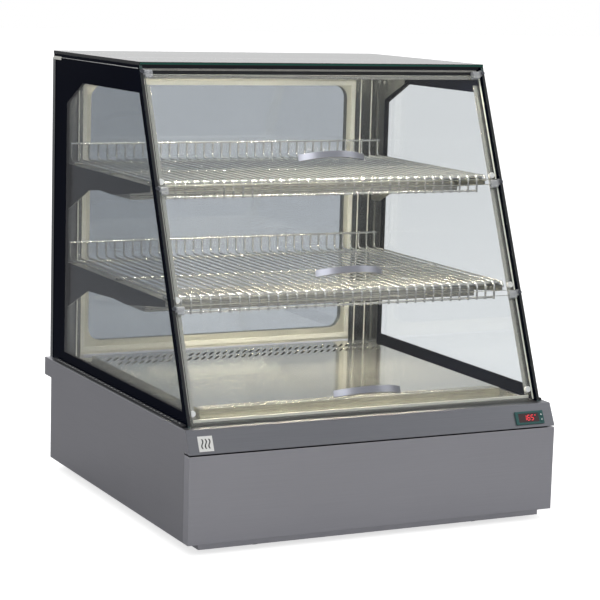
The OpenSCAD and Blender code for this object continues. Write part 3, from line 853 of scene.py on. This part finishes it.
def roofClip(side):
    # folded end of the roof's rear fixing, on the outside of the side glass
    top = sideHigh.z - rearClip["below"]
    low = (sideHigh.x + rearClip["gap"], sideHigh.y - rearClip["length"], top - rearClip["height"])
    piece = block("roofClip" + side, low, (sideHigh.x + rearClip["proud"], sideHigh.y - rearClip["end"], top))
    rounded(piece, rearClip["round"], 2)
    if side == "Left":
        mirrored(piece)
    dress(piece, paintedLitSteel, "case")


for side in ("Left", "Right"):
    roofEdge(side)
    roofClip(side)
print("roof edges made")


# display digits, badge waves and key arrows

display = {
    "number": "165",
    "height": 10 * mm,
    "width": 5.4 * mm,
    "bar": 1.3 * mm,
    "pitch": 8.2 * mm,
    "lean": 0.10,
    "proud": 0.15 * mm,
}
segmentsOf = {"1": "bc", "6": "acdefg", "5": "acdfg"}


def fasciaFrame(node, lift):
    # the frame on the outer face of a part that lies flat on the fascia
    corners = [Vector(vertex.co) for vertex in nodes[node].data.vertices]
    out = min(corner.dot(fasciaIn) for corner in corners)
    up = [corner.dot(fasciaUp) for corner in corners]
    across = [corner.x for corner in corners]
    origin = fasciaIn * (out - lift) + fasciaUp * ((min(up) + max(up)) / 2)
    origin.x = (min(across) + max(across)) / 2
    return frameOf(origin, (1, 0, 0), fasciaUp)


def segmentBar(across, up, length, upright):
    half = length / 2
    bar = display["bar"] / 2
    size = (bar, half, 0.06 * mm) if upright else (half, bar, 0.06 * mm)
    piece = block("segment", (across - size[0], up - size[1], 0), (across + size[0], up + size[1], 0.12 * mm))
    return rounded(piece, 0.05 * mm, 1)


def makeDigits():
    h, w = display["height"] / 2, display["width"] / 2
    long = h - display["bar"] * 0.7
    wide = display["width"] - display["bar"] * 0.9
    bars = {
        "a": (0, h, wide, False), "g": (0, 0, wide, False), "d": (0, -h, wide, False),
        "f": (-w, h / 2, long, True), "b": (w, h / 2, long, True),
        "e": (-w, -h / 2, long, True), "c": (w, -h / 2, long, True),
    }
    pieces = []
    start = -display["pitch"] * (len(display["number"]) - 1) / 2
    for index, figure in enumerate(display["number"]):
        for letter in segmentsOf[figure]:
            across, up, length, upright = bars[letter]
            pieces.append(segmentBar(across + start + index * display["pitch"], up, length, upright))
    clearSelection()
    ring = (start + 3 * display["pitch"] - 1.6 * mm, h - 0.6 * mm, 0.1 * mm)
    bpy.ops.mesh.primitive_torus_add(major_segments=20, minor_segments=6, major_radius=1.1 * mm,
                                     minor_radius=0.35 * mm, location=ring)
    pieces.append(settle(bpy.context.object))
    digits = joined("displayDigits", pieces)
    lean = Matrix.Identity(4)
    lean[0][1] = display["lean"]
    digits.data.transform(lean)
    moved(digits, fasciaFrame("controller_window", display["proud"] - 0.1 * mm))
    return dress(digits, digitGlow, "case")


makeDigits()

waves = {
    "count": 3,
    "pitch": 7 * mm,
    "sway": 1.7 * mm,
    "length": 18 * mm,
    "stroke": 2.3 * mm,
    "proud": 0.35 * mm,
}


def makeWave(across):
    # a bar, subdivided along its length and pushed sideways into a wave
    piece = block("wave", (across - waves["stroke"] / 2, -waves["length"] / 2, 0),
                  (across + waves["stroke"] / 2, waves["length"] / 2, waves["proud"]))
    bpy.ops.object.mode_set(mode="EDIT")
    bpy.ops.mesh.select_all(action="SELECT")
    bpy.ops.mesh.subdivide(number_cuts=15)
    bpy.ops.object.mode_set(mode="OBJECT")
    for vertex in piece.data.vertices:
        vertex.co.x += waves["sway"] * math.sin(2 * math.pi * vertex.co.y / waves["length"])
    return piece


def makeBadge():
    middle = (waves["count"] - 1) / 2
    bars = [makeWave((index - middle) * waves["pitch"]) for index in range(waves["count"])]
    marks = joined("badgeWaves", bars)
    moved(marks, fasciaFrame("badge_plate", 0.02 * mm))
    dress(marks, blackPlastic, "case")


makeBadge()

arrow = {"radius": 1.9 * mm, "height": 0.35 * mm}


def keyArrow(node, turn):
    clearSelection()
    bpy.ops.mesh.primitive_cylinder_add(vertices=3, radius=arrow["radius"], depth=arrow["height"],
                                        location=(0, 0, arrow["height"] / 2), rotation=(0, 0, turn))
    piece = settle(bpy.context.object)
    piece.name = camel(node) + "Arrow"
    rounded(piece, 0.12 * mm, 2)
    moved(piece, fasciaFrame(node, 0.0))
    return dress(piece, whitePlastic, bodyOf[node])


keyArrow("key_up", 0)
keyArrow("key_down", math.pi)
print("controls made")


# screws

gussetScrew = {"sunk": 1.5 * mm, "below": 46 * mm, "backs": (10 * mm, 34 * mm)}


def gussetScrews():
    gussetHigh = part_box("corner_gussets")[1]
    for side, sign in (("Right", 1), ("Left", -1)):
        places = [Vector((sign * (gussetHigh.x - gussetScrew["sunk"]), gussetHigh.y - back,
                          gussetHigh.z - gussetScrew["below"])) for back in gussetScrew["backs"]]
        screwsAt("gussetScrews" + side, places, (0, -sign, 0), (0, 0, 1), "case")


gussetScrews()

doorLow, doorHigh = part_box("door_frame")
pivotScrew = {"sunk": 6.2 * mm, "inset": 2.0 * mm}


def pivotScrews():
    # dark screw heads over the flap pins, on the edges of the side glass
    for side, sign in (("Left", -1), ("Right", 1)):
        places = []
        for level in ("lower", "middle", "upper"):
            place = Vector(joints["flap_" + level + "_hinge"]["pos_m"])
            place -= slopeIn * pivotScrew["sunk"]
            place.x = sign * (sideLow.x + pivotScrew["inset"])
            places.append(place)
        heads = screwsAt("pivotScrews" + side, places, (1, 0, 0), slopeUp, "case")
        heads.data.materials[0] = pinSteel


pivotScrews()
bpy.data.objects.remove(screwMaster)
print("screws made")


# seal strips on the posts and the front bar

strip = {
    "width": 3 * mm,
    "proud": 0.6 * mm,
    "round": 0.25 * mm,
    "inner": 332.5 * mm,  # across, from the middle of the case
    "outer": 361 * mm,
    "step": 4 * mm,
    "postDepth": 30 * mm,
    "foot": 3 * mm,
    "head": 40 * mm,
}


def postStrips():
    # pale seal strips that stand on the faces of the rear posts
    postLow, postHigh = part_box("rear_post_right")
    outerFace = postHigh.y - strip["postDepth"]
    innerFace = outerFace - strip["step"]
    for side, sign in (("Left", -1), ("Right", 1)):
        bars = []
        for across, face in ((strip["inner"], innerFace), (strip["outer"], outerFace)):
            low = (sign * across - strip["width"] / 2, face - strip["proud"], postLow.z + strip["foot"])
            high = (sign * across + strip["width"] / 2, face, postHigh.z - strip["head"])
            bars.append(rounded(block("postStrip", low, high), strip["round"], 2))
        dress(joined("postStrips" + side, bars), stripPlastic, "case")


postStrips()

barSeal = {"top": 4.5 * mm, "height": 7.5 * mm, "proud": 0.8 * mm, "inset": 4 * mm}


def frontBarSeal():
    barLow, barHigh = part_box("top_front_bar")
    top = barHigh.z - barSeal["top"]
    low = (barLow.x + barSeal["inset"], barLow.y - barSeal["proud"], top - barSeal["height"])
    high = (barHigh.x - barSeal["inset"], barLow.y - 0.02 * mm, top)
    piece = rounded(block("frontBarSeal", low, high), 0.3 * mm, 2)
    return dress(piece, sealRubber, "case")


frontBarSeal()
print("strips and bar seal made")


# door gasket

gasket = {"proud": 2.6 * mm, "width": 10 * mm, "overlap": 6 * mm, "gap": 0.2 * mm}


def doorGasket():
    # pale frame seal on the inner face of the door
    overlap = Vector((gasket["overlap"], 0, gasket["overlap"]))
    low = doorLow + overlap - Vector((0, gasket["gap"] + gasket["proud"], 0))
    high = Vector((doorHigh.x, doorLow.y - gasket["gap"], doorHigh.z)) - overlap
    piece = block("doorGasket", low, high)
    inset = Vector((gasket["width"], 0, gasket["width"]))
    cutBy(piece, block("opening", low + inset - Vector((0, 0.01, 0)), high - inset + Vector((0, 0.01, 0))))
    rounded(piece, 0.8 * mm, 3)
    return dress(piece, stripPlastic, "rear_door")


doorGasket()
print("gasket made")


# floor, world and lights


def studio():
    clearSelection()
    bpy.ops.mesh.primitive_plane_add(size=60, location=(0, 0, cadLow.z - 0.0002))
    floor = bpy.context.object
    floor.name = "studioFloor"
    material, wire = newMaterial("paleFloor")
    pale = wire.add("BsdfPrincipled", {}, {
        "Base Color": shade(0.6, 0.6, 0.6),
        "Roughness": 0.8,
        "Specular IOR Level": 0.2,
        "Emission Color": shade(1, 1, 1),
        "Emission Strength": 0.72,
    })
    dim = wire.add("BsdfDiffuse", {}, {"Color": shade(0.30, 0.30, 0.31)})  # what the steel mirrors
    seal(wire, wire.add("LightPath", out="Is Camera Ray").shaderTo(dim, pale))
    floor.data.materials.append(material)


studio()

sky = {"camera": 1.0, "top": 0.95, "level": 0.42, "below": 0.30, "behind": 0.35}


def skyLight():
    world = bpy.data.worlds.new("studioSky")
    bpy.context.scene.world = world
    world.use_nodes = True
    world.node_tree.nodes.clear()
    wire = Wire(world.node_tree)
    x, y, z = wire.add("TexCoord", out="Generated").axes()
    height = wire.add("ValToRGB", {"stops": [(0.0, sky["below"]), (0.5, sky["level"]), (1.0, sky["top"])]},
                      {"Fac": z * 0.5 + 0.5})
    seen = wire.add("LightPath", out="Is Camera Ray")
    behind = ((y * 0.5 + 0.5) ** 4) * sky["behind"]
    light = wire.add("CombineXYZ", {}, {0: height + behind, 1: height + behind, 2: height + behind})
    colour = seen.blendTo(light, shade(sky["camera"], sky["camera"], sky["camera"]))
    wire.add("OutputWorld", {}, {"Surface": wire.add("Background", {}, {"Color": colour, "Strength": 1.0})})


skyLight()


def softbox(name, place, target, size, power, colour=(1, 1, 1)):
    clearSelection()
    bpy.ops.object.light_add(type="AREA", location=place)
    lamp = bpy.context.object
    lamp.name = name
    lamp.data.shape = "RECTANGLE"
    lamp.data.size, lamp.data.size_y = size
    lamp.data.energy = power
    lamp.data.color = colour
    lamp.rotation_euler = (Vector(target) - Vector(place)).to_track_quat("-Z", "Y").to_euler()
    lamp.visible_camera = False
    return lamp


centre = (cadLow + cadHigh) / 2
softbox("keyLight", (-2.2, -2.6, 2.6), centre, (1.6, 1.6), 34)
softbox("fillLight", (2.8, -1.6, 1.8), centre, (1.4, 2.0), 10)
softbox("topLight", (0.2, 0.4, 3.2), centre, (2.4, 2.4), 30)

lampColour = (1.0, 0.90, 0.68)
barLow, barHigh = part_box("top_front_bar")
softbox("topCaseLight", (0, (barLow.y + barHigh.y) / 2, barLow.z - 2 * mm), (0, barHigh.y + 0.12, 0.25),
        (0.66, 0.008), 3.0, lampColour)
for level, power in (("upper", 1.8), ("lower", 2.0)):
    housingLow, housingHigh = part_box("lamp_housing_" + level)
    middleY = (housingLow.y + housingHigh.y) / 2
    softbox(level + "CaseLight", (0, middleY, housingLow.z - 1 * mm), (0, middleY, 0),
            (0.66, 0.010), power, lampColour)
bpy.context.scene.view_settings.view_transform = "Standard"
bpy.context.scene.cycles.transparent_max_bounces = 32
print("studio lit")
